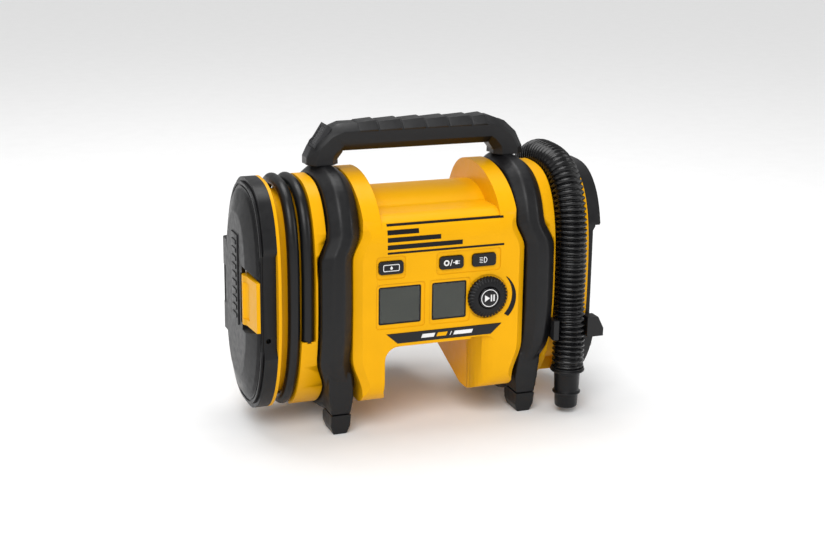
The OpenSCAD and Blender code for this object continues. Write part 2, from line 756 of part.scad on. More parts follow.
module door_pin() {
    color(steel) on_side(-1) rod_z(hinge_z - 46.5, hinge_z + 46.5, hinge_x, hinge_y, 1.5);
}
module right_cover() {
    color(black) difference() {
        dome(46);
        along_x(end_x - 1, end_x + 7, oval(36, 35, 76));
        along_x(150, 200, notch);
        cut_back();
        for (p = cover_screws) {
            rod_x(end_x - 1, end_x + 2, p[0], p[1], 1.8);
            rod_x(end_x + 1.4, end_x + 9, p[0], p[1], 3.6);
        }
    }
}
// Adaptors kept behind the door, standing in the shelf's pockets
shelf_x = 140;
needle_y = -8;
cone_y = 14;
module needle_adaptor() {
    color(steel) on_side(-1) {
        rod_z(63, 71, shelf_x, needle_y, 4.5);
        rod_z(70.9, 92, shelf_x, needle_y, 2);
        rod_z(91.9, 122, shelf_x, needle_y, 0.9);
    }
}
module cone_adaptor() {
    color(grey) translate([-shelf_x, cone_y, 63]) difference() {
        rotate_extrude($fn = 48) polygon([[0, 0], [7, 0], [7, 6], [6, 6], [4, 34], [0, 34]]);
        translate([0, 0, -1]) cylinder(h = 40, r = 2, $fn = 32);
    }
}

// ---------------------------------------------------------------- hoses

// Rings of a tube along a list of points
function unit3(v) = v / norm(v);
function tangent(p, i) = unit3(p[min(len(p) - 1, i + 1)] - p[max(0, i - 1)]);
function tube_ring(p, i, r, n) = let (t = tangent(p, i), u = unit3(cross(t, [1, 0.02, 0])), v = cross(t, u))
    [for (k = [0 : n - 1]) p[i] + r * (cos(k * 360 / n) * u + sin(k * 360 / n) * v)];
module tube(p, d, n) {
    skin([for (i = [0 : len(p) - 1]) tube_ring(p, i, d / 2, n)]);
}
// The thin hose: one turn in the inner lane, then one beside it, then down the back
air_lift = air_d / 2 - air_groove + 0.6;
function air_lane_at(a) = air_lane + (air_lane_2 - air_lane) * step(-a, 10, 105);
// The angle falls from the front (174) over the top (90), the back (0), under (-90) and round again
air_route = concat([[-air_lane, air_start_y, 97.6], [-air_lane, -drum_front + 7.4, 106]],
    [for (i = [0 : 41]) let (a = 174 - i * 12.8, lift = air_lift + 2.5 * max(0, sin(a)),
        p = oval_point(a, drum_front + lift, drum_back + lift, drum_half + lift, drum_round))
        [-air_lane_at(a), p[0], p[1]]]);
module air_hose() {
    color(rubber) tube(air_route, air_d, 8);
}
module air_chuck() {
    e = air_route[len(air_route) - 1];
    color(black) translate([e[0], e[1], 0]) difference() {
        union() {
            rod_z(e[2] - 14, e[2] - 0.9, 0, 0, 5.7);
            rod_z(e[2] - 44, e[2] - 13.9, 0, 0, 5);
        }
        rod_z(e[2] - 45, e[2] - 34, 0, 0, 3);
    }
}
// The wide hose: out of its socket at the back, over the drum and down the front
volume_lift = volume_d / 2 - volume_groove + 0.5;
volume_route = concat([[hose_x, socket_y, 70.1], [hose_x, socket_y, 79.5]],
    [for (i = [0 : 28]) let (a = -12 + i * 7.1, lift = volume_lift + 3 * max(0, sin(a)),
        p = oval_point(a, drum_front + lift, drum_back + lift, drum_half + lift, drum_round))
        [hose_x, p[0], p[1]]],
    [[hose_x, -73, 88], [hose_x - 0.5, -74.6, 73], [nozzle_x, nozzle_y, 58], [nozzle_x, nozzle_y, 48]]);
module volume_hose() {
    color(rubber) tube(volume_route, volume_d, 12);
}
module hose_socket() {
    color(black) translate([hose_x, socket_y, 0]) difference() {
        rod_z(58, 78, 0, 0, 17.2);
        rod_z(70, 79, 0, 0, 16.2);
        rod_z(57, 71, 0, 0, 12);
    }
}
module hose_cuff() {
    color(black) translate([nozzle_x, nozzle_y, 0]) difference() {
        rod_z(43, 47.9, 0, 0, 17.2);
        rod_z(42, 49, 0, 0, 9);
    }
}
module nozzle() {
    color(black) translate([nozzle_x, nozzle_y, 0]) rotate_extrude($fn = 64)
        polygon([[8, 42.9], [13.4, 42.9], [12, 23], [14, 22.4], [14, 20.6], [11.8, 20], [10.6, 6],
            [8, 6]]);
}
// Two lugs in front of the groove's walls, with hooks that reach round the wide hose
module hose_clip() {
    r = volume_d / 2 + 0.6;
    color(black) difference() {
        union() {
            block([groove_in - 4.6, -83, 78], [groove_in + 5, -55, 98]);
            along_y(-83, -55, [[groove_out - 5, 78], [rim_x + 1, 78], [rim_x + 1, 86],
                [rim_x - 5, 98], [groove_out - 5, 98]]);
        }
        rod_z(70, 110, hose_x, -74, r);
        rod_z(70, 110, hose_x, -77, r);
        block([groove_in - 0.1, -74, 70], [groove_out + 0.1, -40, 110]);
        along_x(100, 200, drum_oval(-0.03));
        // the lug stays in front of the frame
        block([100, -76, 70], [groove_in - 3, -40, 110]);
    }
}

// ---------------------------------------------------------------- battery

// The dock's two channels hold the pack's flange, and a sill under them stops it
module battery_dock() {
    y = body_back + 0.05;
    top = pack_z + pack_h;
    color(black) difference() {
        union() {
            block([-44, y, pack_z - 2], [44, y + 6, top]);
            for (s = [-1, 1])
                block([s * 39.5 - 4, y + 5, pack_z - 1], [s * 39.5 + 4, y + 16, top - 8]);
            block([-44, y, pack_z - 5], [44, y + 12, pack_z]);
        }
        block([-lip_x, y + 3, pack_z + 20], [lip_x, y + 7, top + 1]);
        for (s = [-1, 1])
            block([s * lip_x - 3.5, y + 6, pack_z], [s * lip_x + 3.5, y + 11, top + 1]);
    }
}
module battery_terminals() {
    y = body_back + 3.05;
    color(steel) for (i = [-2 : 2])
        block([i * 9 - 0.5, y, pack_z + 24], [i * 9 + 0.5, y + 11, pack_z + 46]);
}
module battery_pack() {
    top = pack_z + pack_h;
    flange_x = channel_x - 0.2;
    neck_x = lip_x - 0.3;
    color(black) difference() {
        union() {
            block([-flange_x, rail_y, pack_z], [flange_x, rail_y + 4.4, top - 4]);
            block([-neck_x, rail_y + 4, pack_z], [neck_x, pack_y + 1.5, top - 4]);
            along_x(-pack_w / 2, pack_w / 2, concat([[pack_y + 0.8, pack_z]],
                arc(pack_y + pack_d - 9, pack_z + 9, 9, -90, 0, 6),
                arc(pack_y + pack_d - 14, top - 14, 14, 0, 90, 6), [[pack_y + 0.8, top]]));
            // ribs for the fingers
            for (s = [-1, 1]) for (i = [0 : 4])
                block([s * 18 - 12, pack_y + pack_d - 0.5, pack_z + 22 + i * 12],
                    [s * 18 + 12, pack_y + pack_d + 1.2, pack_z + 27 + i * 12]);
        }
        for (i = [-2 : 2])
            block([i * 9 - 1.2, rail_y - 1, pack_z - 1], [i * 9 + 1.2, rail_y + 9, pack_z + 50]);
        block([-14.2, pack_y + pack_d - 8, pack_z + 90], [14.2, pack_y + pack_d + 5, pack_z + 102]);
    }
}
module battery_release() {
    back = pack_y + pack_d;
    color(grey) plate(-14, 14, pack_z + 90.2, pack_z + 101.8, back - 4, back + release_proud, 3);
}

// ---------------------------------------------------------------- compressor and fan

motor_r = 18.2;
fan_motor_r = 17;
module compressor_motor() {
    color(steel) difference() {
        union() {
            rod_x(-68, -24, 0, motor_z, motor_r);
            rod_x(-24.1, -21.5, 0, motor_z, 6);
            rod_x(-72, -67.9, 0, motor_z, 5);
        }
        rod_x(-32, -21, 0, motor_z, 2.5 + running);
    }
}
// Involute gear teeth about the origin
function involute(a) = tan(a) * 180 / PI - a;
function tooth_half(r, teeth) = let (rp = teeth * tooth_module / 2, rb = rp * cos(20))
    87 / teeth + involute(20) - involute(acos(min(1, rb / max(r, rb))));
function tooth_points(k, teeth) = let (rp = teeth * tooth_module / 2, c = k * 360 / teeth,
        radii = [rp - 1.05, rp - 0.5, rp, rp + 0.4, rp + 0.75])
    concat([for (r = radii) let (a = c - tooth_half(r, teeth)) [r * cos(a), r * sin(a)]],
        [for (i = [4 : -1 : 0]) let (r = radii[i], a = c + tooth_half(r, teeth)) [r * cos(a), r * sin(a)]]);
function gear_points(teeth) = [for (k = [0 : teeth - 1]) for (p = tooth_points(k, teeth)) p];
// The pinion on its shaft, turned so that a tooth gap faces the crank gear
module drive_pinion() {
    color(steel) {
        translate([-9, 0, motor_z]) rotate([90 + 180 / pinion_teeth, 0, 0]) rotate([90, 0, 90])
            linear_extrude(6.5) polygon(gear_points(pinion_teeth));
        rod_x(-31, -8.9, 0, motor_z, 2.5);
    }
}
module crank_gear() {
    color("ivory") {
        translate([-9, 0, crank_z]) rotate([-90, 0, 0]) rotate([90, 0, 90])
            linear_extrude(6) polygon(gear_points(gear_teeth));
        rod_x(-22, -8.9, 0, crank_z, 3);
        rod_x(-3.1, 2.6, 0, crank_z + throw, 3);
    }
}
module crank_bearing() {
    color([0.75, 0.6, 0.3]) difference() {
        rod_x(-20, -13, 0, crank_z, 5);
        rod_x(-21, -12, 0, crank_z, 3 + running);
    }
}
rod_l = 27; // length of the connecting rod between its eyes
module connecting_rod() {
    z = crank_z + throw;
    color(grey) difference() {
        union() {
            rod_x(-2.6, 2.4, 0, z, 6);
            block([-2, -2.5, z + 4], [2, 2.5, z + rod_l - 2]);
            rod_x(-2.6, 2.4, 0, z + rod_l, 4);
        }
        rod_x(-4, 4, 0, z, 3 + running);
        rod_x(-4, 4, 0, z + rod_l, 1.5);
    }
}
bore_r = 12.5;
piston_z = crank_z + throw + 27.5; // bottom of the piston's skirt
module piston() {
    color(steel) difference() {
        rod_z(piston_z, piston_z + 17.5, 0, 0, bore_r);
        rod_z(piston_z - 1, piston_z + 13.9, 0, 0, bore_r - 2);
    }
}
module cylinder_sleeve() {
    color(steel) difference() {
        union() {
            rod_z(183, 215, 0, 0, sleeve_r);
            for (i = [0 : 3]) rod_z(194 + i * 5, 196 + i * 5, 0, 0, sleeve_r + 2.5);
        }
        rod_z(182, 211, 0, 0, bore_r + running);
        // outlet for the air
        rod_z(210, 216, 0, 0, 3);
    }
}
module fan_motor() {
    color(steel) difference() {
        union() {
            rod_x(fan_end + 2, 72, fan_y, fan_z, fan_motor_r);
            rod_x(fan_end + 0.3, fan_end + 2.1, fan_y, fan_z, 5);
        }
        rod_x(fan_end, fan_end + 8, fan_y, fan_z, 2 + running);
    }
}
module impeller() {
    color(grey) {
        rod_x(46, 48, fan_y, fan_z, fan_r - 3);
        rod_x(32, 46.1, fan_y, fan_z, 6);
        rod_x(47.9, fan_end + 7, fan_y, fan_z, 2);
        for (i = [0 : 8]) translate([0, fan_y, fan_z]) rotate([i * 40, 0, 0])
            block([32, 4, 3], [46.1, fan_r - 4, 5.5]);
    }
}
// The fan's round chamber with a spout to the back
module fan_spout(x0, x1, less) {
    block([x0, fan_y + 30, fan_z - 12 + less], [x1, fan_y + 50 + less, fan_z + 12 - less]);
}
module fan_housing() {
    color(black) difference() {
        union() {
            rod_x(fan_x, fan_end, fan_y, fan_z, fan_r + 5);
            fan_spout(fan_x, fan_end, 0);
        }
        rod_x(fan_x + 3, fan_end + 1, fan_y, fan_z, fan_r + 2);
        fan_spout(fan_x + 3, fan_end + 1, 3);
        rod_x(fan_x - 1, fan_x + 4, fan_y, fan_z, 18);
    }
}
module fan_cover() {
    color(black) difference() {
        union() {
            rod_x(fan_end, fan_end + 2, fan_y, fan_z, fan_r + 5);
            fan_spout(fan_end, fan_end + 2, 0);
        }
        rod_x(fan_end - 1, fan_end + 3, fan_y, fan_z, 5.05);
    }
}

place() front_case();
place() rear_case();
place() chassis();
place() frame(-1);  // left_frame
place() frame(1);  // right_frame
place() foot(-1, -1);  // front_left_foot
place() foot(1, -1);  // front_right_foot
place() foot(-1, 1);  // rear_left_foot
place() foot(1, 1);  // rear_right_foot
place() handle_core();
place() handle_grip();
place() light_bezel();
place() light_lens();
place() light_board();
place() window(0);  // left_window
place() window(1);  // right_window
place() display(0);  // left_display
place() display(1);  // right_display
place() control_board();
place() panel_marks();
place() trim_plate();
place() dial();
place() start_button();
place() push_button(0);  // tank_button
place() push_button(1);  // mode_button
place() push_button(2);  // light_button
place() left_drum();
place() rim(-1);  // left_rim
place() storage_door();
place() door_pin();
place() door_latch();
place() latch_pin();
place() needle_adaptor();
place() cone_adaptor();
place() air_hose();
place() air_chuck();
place() right_drum();
place() rim(1);  // right_rim
place() right_cover();
place() hose_clip();
place() hose_socket();
place() volume_hose();
place() hose_cuff();
place() nozzle();
place() battery_dock();
place() battery_terminals();
place() battery_pack();
place() battery_release();
place() compressor_motor();
place() drive_pinion();
place() crank_gear();
place() crank_bearing();
place() connecting_rod();
place() piston();
place() cylinder_sleeve();  // cylinder
place() fan_motor();
place() impeller();
place() fan_housing();
place() fan_cover();
place() case_screws();
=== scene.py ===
import json
import math
import bmesh
import bpy
from mathutils import Matrix, Vector


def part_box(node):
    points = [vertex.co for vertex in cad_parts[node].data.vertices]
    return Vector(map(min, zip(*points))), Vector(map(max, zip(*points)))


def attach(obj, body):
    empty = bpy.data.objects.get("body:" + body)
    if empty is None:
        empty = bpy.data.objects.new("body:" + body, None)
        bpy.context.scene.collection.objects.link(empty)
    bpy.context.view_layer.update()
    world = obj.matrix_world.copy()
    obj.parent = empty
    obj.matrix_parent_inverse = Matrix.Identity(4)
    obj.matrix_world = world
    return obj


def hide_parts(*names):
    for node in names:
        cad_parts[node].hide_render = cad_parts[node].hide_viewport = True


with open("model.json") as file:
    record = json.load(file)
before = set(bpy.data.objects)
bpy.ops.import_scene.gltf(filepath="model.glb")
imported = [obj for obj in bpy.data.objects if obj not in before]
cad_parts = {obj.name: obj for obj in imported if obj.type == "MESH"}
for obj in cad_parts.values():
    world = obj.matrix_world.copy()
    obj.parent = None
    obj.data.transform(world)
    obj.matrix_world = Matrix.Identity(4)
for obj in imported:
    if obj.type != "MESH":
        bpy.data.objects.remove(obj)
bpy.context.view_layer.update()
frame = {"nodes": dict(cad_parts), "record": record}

# Lengths here are millimetres about the drums' own centre plane, where X is 0 between the frames.
# row() turns them into the row's metres. +Z is up, -Y is the panel, -X is the end with the door.
MM = 0.001
DRUM_FRONT, DRUM_BACK, DRUM_HALF = 71, 70, 113
CENTRE_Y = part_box("left_drum")[0].y / MM + DRUM_FRONT
CENTRE_Z = 131
DRUM_ROUND = {"front_top": 3.0, "front_low": 2.3, "back_top": 2.0, "back_low": 2.6}
PANEL_Y = -79
ROOT = "pump"


def row(x, y, z):
    """A point of the design, in millimetres, as the row's metres."""
    return Vector((x * MM, (y + CENTRE_Y) * MM, z * MM))


def power(value, exponent):
    """A signed power, for the ovals."""
    return math.copysign(abs(value) ** exponent, value)


def oval_point(degrees, front, back, half):
    """A point (y, z) of the drums' rounded oval: 0 is the back, 90 the top, 180 the front."""
    c, s = math.cos(math.radians(degrees)), math.sin(math.radians(degrees))
    side = ("front" if c < 0 else "back") + ("_top" if s > 0 else "_low")
    p = 2 / DRUM_ROUND[side]
    return power(c, p) * (front if c < 0 else back), CENTRE_Z + power(s, p) * half


def step(value, start, end):
    """0 before start, 1 after end and smooth between them."""
    t = min(1, max(0, (value - start) / (end - start)))
    return t * t * (3 - 2 * t)


def turns(sides):
    """The angles of an even full turn, in radians."""
    return [2 * math.pi * k / sides for k in range(sides)]


# ------------------------------------------------------------------ camera

LOOK_AT = Vector((0.0016, -0.0188, 0.1319))
AZIMUTH, ELEVATION, ROLL = math.radians(-20.8), math.radians(15.8), math.radians(0.7)
DISTANCE = 1.514


def photo_camera():
    """A long lens from the front left, a little above, as in the photograph."""
    data = bpy.data.cameras.new("camera")
    data.sensor_width, data.lens = 36, 66.1
    data.clip_start, data.clip_end = 0.05, 20
    back = Vector((math.sin(AZIMUTH) * math.cos(ELEVATION),
                   -math.cos(AZIMUTH) * math.cos(ELEVATION), math.sin(ELEVATION)))
    right = Vector((math.cos(AZIMUTH), math.sin(AZIMUTH), 0))
    up = back.cross(right)
    across = right * math.cos(ROLL) + up * math.sin(ROLL)
    above = up * math.cos(ROLL) - right * math.sin(ROLL)
    camera = bpy.data.objects.new("camera", data)
    camera.matrix_world = Matrix.Translation(LOOK_AT + back * DISTANCE) @ \
        Matrix((across, above, back)).transposed().to_4x4()
    bpy.context.collection.objects.link(camera)
    bpy.context.scene.camera = camera


# ------------------------------------------------------------------ materials

def noise(tree, place, scale, detail):
    """A cloudy pattern in the piece's own coordinates."""
    texture = tree.nodes.new("ShaderNodeTexNoise")
    texture.inputs["Scale"].default_value = scale
    texture.inputs["Detail"].default_value = detail
    tree.links.new(place, texture.inputs["Vector"])
    return texture.outputs["Fac"]


def spread(tree, source, low, high, start=0.3, end=0.7):
    """Turns a pattern's values from start to end into values from low to high."""
    node = tree.nodes.new("ShaderNodeMapRange")
    node.inputs["From Min"].default_value, node.inputs["From Max"].default_value = start, end
    node.inputs["To Min"].default_value, node.inputs["To Max"].default_value = low, high
    tree.links.new(source, node.inputs["Value"])
    return node.outputs["Result"]


def mix(tree, factor, first, second):
    """Mixes two colours. Each is plain or comes from another node."""
    node = tree.nodes.new("ShaderNodeMix")
    node.data_type = "RGBA"
    tree.links.new(factor, node.inputs[0])
    for value, socket in ((first, node.inputs[6]), (second, node.inputs[7])):
        if isinstance(value, tuple):
            socket.default_value = (*value, 1)
        else:
            tree.links.new(value, socket)
    return node.outputs[2]


def cloudy_colour(tree, place, colour, variation, edge):
    """A colour that drifts a little over the piece, and is paler at its edges where edge is above 0."""
    dark = tuple(c * (1 - variation) for c in colour)
    light = tuple(min(1, c * (1 + variation)) for c in colour)
    tint = mix(tree, spread(tree, noise(tree, place, 28, 4), 0, 1), dark, light)
    if edge:
        worn = tuple(min(1, c + edge * (1 - c)) for c in colour)
        pointed = tree.nodes.new("ShaderNodeNewGeometry").outputs["Pointiness"]
        tint = mix(tree, spread(tree, pointed, 0, 0.8, 0.53, 0.62), tint, worn)
    return tint


def grained_normal(tree, place, grain, grain_mm, round_mm):
    """A fine moulded grain over edges that catch the light as if rounded."""
    rounded = tree.nodes.new("ShaderNodeBevel")
    rounded.samples = 4
    rounded.inputs["Radius"].default_value = round_mm * MM
    bump = tree.nodes.new("ShaderNodeBump")
    bump.inputs["Strength"].default_value = grain
    bump.inputs["Distance"].default_value = 0.12 * MM
    tree.links.new(noise(tree, place, 1 / (grain_mm * MM), 3), bump.inputs["Height"])
    tree.links.new(rounded.outputs["Normal"], bump.inputs["Normal"])
    return bump.outputs["Normal"]


def material(name, colour, roughness, grain=0.2, grain_mm=0.5, variation=0.08, metallic=0.0,
             edge=0.0, round_mm=0.5, shine=0.5, gloss=(1, 1, 1), clear=False):
    """Moulded, rubber, metal or clear surface: cloudy colour, uneven gloss and fine grain."""
    made = bpy.data.materials.new(name)
    made.use_nodes = True
    tree = made.node_tree
    shader = tree.nodes["Principled BSDF"]
    place = tree.nodes.new("ShaderNodeTexCoord").outputs["Object"]
    tree.links.new(cloudy_colour(tree, place, colour, variation, edge), shader.inputs["Base Color"])
    scuffs = spread(tree, noise(tree, place, 160, 5), roughness - 0.06, roughness + 0.07)
    tree.links.new(scuffs, shader.inputs["Roughness"])
    shader.inputs["Metallic"].default_value = metallic
    shader.inputs["Specular IOR Level"].default_value = shine
    shader.inputs["Specular Tint"].default_value = (*gloss, 1)
    if clear:
        shader.inputs["Transmission Weight"].default_value = 0.85
        shader.inputs["IOR"].default_value = 1.49
    tree.links.new(grained_normal(tree, place, grain, grain_mm, round_mm), shader.inputs["Normal"])
    return made


YELLOW = material("yellow_plastic", (0.80, 0.385, 0.0008), 0.38, grain=0.10, grain_mm=0.9,
                  variation=0.03, round_mm=0.8, shine=0.26, gloss=(1, 0.86, 0.45))
FRAME = material("frame_rubber", (0.0042, 0.0042, 0.005), 0.42, grain=0.3, grain_mm=0.45, edge=0.012,
                 round_mm=0.8, shine=0.34)
BLACK = material("black_plastic", (0.0038, 0.0038, 0.0045), 0.36, grain=0.3, grain_mm=0.6, edge=0.012,
                 round_mm=0.8, shine=0.26)
GLOSSY = material("glossy_plastic", (0.003, 0.003, 0.004), 0.18, grain=0.05, shine=0.35)
GREY = material("grey_plastic", (0.014, 0.014, 0.016), 0.40, grain=0.4, grain_mm=0.6, edge=0.03, shine=0.4)
HOSE = material("hose_rubber", (0.0035, 0.0035, 0.004), 0.34, grain=0.2, grain_mm=0.5, shine=0.35)
RINGED = material("ringed_hose", (0.003, 0.003, 0.0035), 0.24, grain=0.08, grain_mm=0.8, shine=0.4)
DISPLAY = material("display", (0.026, 0.029, 0.023), 0.35, grain=0.03, variation=0.06, shine=0.3)
TINTED = material("tinted_window", (0.20, 0.22, 0.19), 0.08, grain=0.02, clear=True, shine=0.16)
CLEAR = material("smoked_lens", (0.10, 0.10, 0.11), 0.12, grain=0.3, grain_mm=2, clear=True)
PRINT = material("black_print", (0.003, 0.003, 0.004), 0.40, grain=0.1, shine=0.25)
WHITE = material("white_print", (0.78, 0.78, 0.78), 0.45, grain=0.1, variation=0.03)
STEEL = material("steel", (0.55, 0.55, 0.56), 0.30, grain=0.15, metallic=1.0)
BRONZE = material("bronze", (0.55, 0.36, 0.13), 0.35, grain=0.3, metallic=1.0)
ALLOY = material("cast_alloy", (0.60, 0.61, 0.62), 0.45, grain=0.5, grain_mm=0.8, metallic=1.0)
NYLON = material("white_nylon", (0.74, 0.71, 0.60), 0.40, grain=0.2)
BOARD = material("circuit_board", (0.02, 0.12, 0.05), 0.30, grain=0.3, grain_mm=1.5, variation=0.3)


# ------------------------------------------------------------------ pieces

SHARP = 32  # degrees; faces that meet at more than this keep their edge


def piece(name, points, faces, skin, nodes=(), body=ROOT, sharp=SHARP, slot=None):
    """A new mesh that rides on a body and may stand for CAD nodes. Its points are in metres."""
    mesh = bpy.data.meshes.new(name)
    mesh.from_pydata([tuple(p) for p in points], [], faces)
    mesh.materials.append(skin)
    made = bpy.data.objects.new(name, mesh)
    bpy.context.collection.objects.link(made)
    tidy(mesh, sharp)
    settle(made, nodes, body)
    return made


def tidy(mesh, sharp):
    """Welds a mesh, turns its faces outwards and keeps only its sharp edges sharp."""
    work = bmesh.new()
    work.from_mesh(mesh)
    bmesh.ops.remove_doubles(work, verts=work.verts, dist=2e-6)
    bmesh.ops.recalc_face_normals(work, faces=work.faces)
    work.to_mesh(mesh)
    work.free()
    mesh.shade_smooth()
    mesh.set_sharp_from_angle(angle=math.radians(sharp))


def settle(made, nodes, body):
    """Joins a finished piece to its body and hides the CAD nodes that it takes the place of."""
    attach(made, body)
    if nodes:
        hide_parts(*nodes)


def body_of(node):
    """The body that a CAD node is in."""
    bodies = frame["record"]["behaviour"]["bodies"]
    return next(name for name, members in bodies.items() if node in members)


def loft(name, rings, skin, closed=False, **kind):
    """A skin over rings of millimetre points, closed at its ends or round into a loop."""
    count, total = len(rings[0]), len(rings)
    faces = []
    for i in range(total if closed else total - 1):
        for j in range(count):
            a, b = i * count, (i + 1) % total * count
            k = (j + 1) % count
            faces.append((a + j, b + j, b + k, a + k))
    if not closed:
        faces += [tuple(range(count)), tuple(range((total - 1) * count, total * count))]
    return piece(name, [row(*p) for ring in rings for p in ring], faces, skin, **kind)


def dress(node, skin, bevel=0.0):
    """A copy of a CAD node's own shape, smooth where it is round, in place of the CAD mesh."""
    mesh = frame["nodes"][node].data.copy()
    mesh.materials.clear()
    mesh.materials.append(skin)
    made = bpy.data.objects.new(f"{node}_shell", mesh)
    bpy.context.collection.objects.link(made)
    work = bmesh.new()
    work.from_mesh(mesh)
    bmesh.ops.remove_doubles(work, verts=work.verts, dist=5e-6)
    bmesh.ops.dissolve_limit(work, angle_limit=math.radians(0.4), verts=work.verts, edges=work.edges)
    work.to_mesh(mesh)
    work.free()
    mesh.shade_smooth()
    mesh.set_sharp_from_angle(angle=math.radians(SHARP))
    if bevel:
        rounding = made.modifiers.new("rounding", "BEVEL")
        rounding.width = bevel * MM
        rounding.segments = 3
        rounding.limit_method = "ANGLE"
        rounding.angle_limit = math.radians(SHARP)
    weights = made.modifiers.new("flat_faces", "WEIGHTED_NORMAL")
    weights.keep_sharp = True
    settle(made, [node], body_of(node))
    return made


def soften(node, skin, voxel, passes):
    """A copy of a CAD node with its edges worn round, for the rubber frames and feet."""
    mesh = frame["nodes"][node].data.copy()
    mesh.materials.clear()
    mesh.materials.append(skin)
    made = bpy.data.objects.new(f"{node}_soft", mesh)
    bpy.context.collection.objects.link(made)
    even = made.modifiers.new("even_mesh", "REMESH")
    even.mode = "VOXEL"
    even.voxel_size = voxel * MM
    even.use_smooth_shade = True
    worn = made.modifiers.new("worn_edges", "SMOOTH")
    worn.factor = 0.5
    worn.iterations = passes
    settle(made, [node], body_of(node))
    return made


def paint(skin, *nodes):
    """A better material on CAD nodes that keep their own mesh."""
    for node in nodes:
        mesh = frame["nodes"][node].data
        mesh.materials.clear()
        mesh.materials.append(skin)


# ------------------------------------------------------------------ hoses

def smooth_path(points, spacing):
    """Evenly spaced points along a smooth curve through the route's points."""
    ends = [points[0] * 2 - points[1], *points, points[-1] * 2 - points[-2]]
    fine, steps = [], 40
    for before, a, b, after in zip(ends, ends[1:], ends[2:], ends[3:]):
        for i in range(steps):
            t = i / steps
            fine.append(0.5 * ((2 * a) + (b - before) * t + (2 * before - 5 * a + 4 * b - after) * t ** 2
                               + (3 * a - before - 3 * b + after) * t ** 3))
    fine.append(points[-1])
    lengths = [0]
    for a, b in zip(fine, fine[1:]):
        lengths.append(lengths[-1] + (b - a).length)
    count = round(lengths[-1] / spacing)
    path, j = [], 0
    for i in range(count + 1):
        wanted = lengths[-1] * i / count
        while j < len(fine) - 2 and lengths[j + 1] < wanted:
            j += 1
        share = (wanted - lengths[j]) / (lengths[j + 1] - lengths[j])
        path.append(fine[j].lerp(fine[j + 1], share))
    return path, lengths[-1]


def tube_rings(path, radius, sides):
    """Rings along a path. The radius is a function of the ring's number."""
    rings, side = [], Vector((1, 0, 0))
    for i, point in enumerate(path):
        along = (path[min(i + 1, len(path) - 1)] - path[max(i - 1, 0)]).normalized()
        side = (side - along * side.dot(along)).normalized()
        other = along.cross(side)
        rings.append([point + (side * math.cos(t) + other * math.sin(t)) * radius(i)
                      for t in turns(sides)])
    return rings


HOSE_X, AIR_LANE, AIR_LANE_2 = 138.5, 128.4, 141.8
VOLUME_D, AIR_D = 32, 11.5
VOLUME_GROOVE, AIR_GROOVE = 17, 13
SOCKET_Y = DRUM_BACK - 4.8
NOZZLE_X, NOZZLE_Y = HOSE_X - 1.5, -76


def volume_route():
    """The wide hose: out of its socket at the back, over the drum and down the front."""
    route = [(HOSE_X, SOCKET_Y, 70.1), (HOSE_X, SOCKET_Y, 79.5)]
    first, turn, count = -12, 7.1, 29
    for i in range(count):
        a = first + i * turn
        lift = VOLUME_D / 2 - VOLUME_GROOVE + 0.5 + 3 * max(0, math.sin(math.radians(a)))
        route.append((HOSE_X, *oval_point(a, DRUM_FRONT + lift, DRUM_BACK + lift, DRUM_HALF + lift)))
    route += [(HOSE_X, -73, 88), (HOSE_X - 0.5, -74.6, 73), (NOZZLE_X, NOZZLE_Y, 58),
              (NOZZLE_X, NOZZLE_Y, 48)]
    return [Vector(p) for p in route]


def air_route():
    """The thin hose: a turn in the inner lane of the left drum, then one beside it to the back."""
    route = [(-AIR_LANE, -62.6, 97.6), (-AIR_LANE, -DRUM_FRONT + 7.4, 106)]
    first, turn, count = 174, -12.8, 42
    for i in range(count):
        a = first + i * turn
        lift = AIR_D / 2 - AIR_GROOVE + 0.6 + 2.5 * max(0, math.sin(math.radians(a)))
        lane = AIR_LANE + (AIR_LANE_2 - AIR_LANE) * step(-a, 10, 105)
        route.append((-lane, *oval_point(a, DRUM_FRONT + lift, DRUM_BACK + lift, DRUM_HALF + lift)))
    return [Vector(p) for p in route]


def lathe(name, profile, centre, skin, **kind):
    """A round piece about a vertical axis. The profile holds (radius, z), outside and inside."""
    rings = [[(centre[0] + r * math.cos(t), centre[1] + r * math.sin(t), z) for r, z in profile]
             for t in turns(72)]
    return loft(name, rings, skin, closed=True, **kind)


def hose_end_pieces():
    """The wide hose's cuff and its tapered nozzle with a collar."""
    centre = (NOZZLE_X, NOZZLE_Y)
    cuff = lathe("hose_cuff_ring", [
        (9, 43), (13.6, 43), (14.6, 43.2), (16.2, 43.6), (17, 44.3), (17.2, 45), (17, 45.7),
        (16.2, 46.2), (15.9, 46.6), (16.4, 46.9), (16.6, 47.3), (16.3, 47.8), (9, 47.9)],
        centre, BLACK, nodes=["hose_cuff"])
    tip = lathe("nozzle_body", [
        (8, 42.9), (13.3, 42.9), (13.3, 41.8), (12.9, 41.2), (12.2, 23.6), (12.6, 22.9), (13.6, 22.5),
        (14, 22.1), (14, 21.2), (13.5, 20.7), (12.2, 20.4), (11.9, 19.8), (11.2, 8.4), (10.9, 7.1),
        (10.2, 6.3), (9.2, 6), (8.3, 6.2), (8, 6.9)], centre, BLACK, nodes=["nozzle"])
    return [cuff, tip]


RING_PITCH, RING_DEPTH, RING_SHARPNESS = 5.0, 2.7, 0.55


def volume_hose():
    """The wide corrugated hose: one rounded ring every few millimetres."""
    path, length = smooth_path(volume_route(), 0.55)
    spacing = length / (len(path) - 1)

    def radius(i):
        wave = 0.5 + 0.5 * math.cos(2 * math.pi * i * spacing / RING_PITCH)
        return VOLUME_D / 2 - RING_DEPTH * (1 - wave ** RING_SHARPNESS)

    rings = tube_rings(path, radius, 48)
    hose = loft("corrugated_hose", rings, RINGED, nodes=["volume_hose"], sharp=80)
    hose_end_pieces()


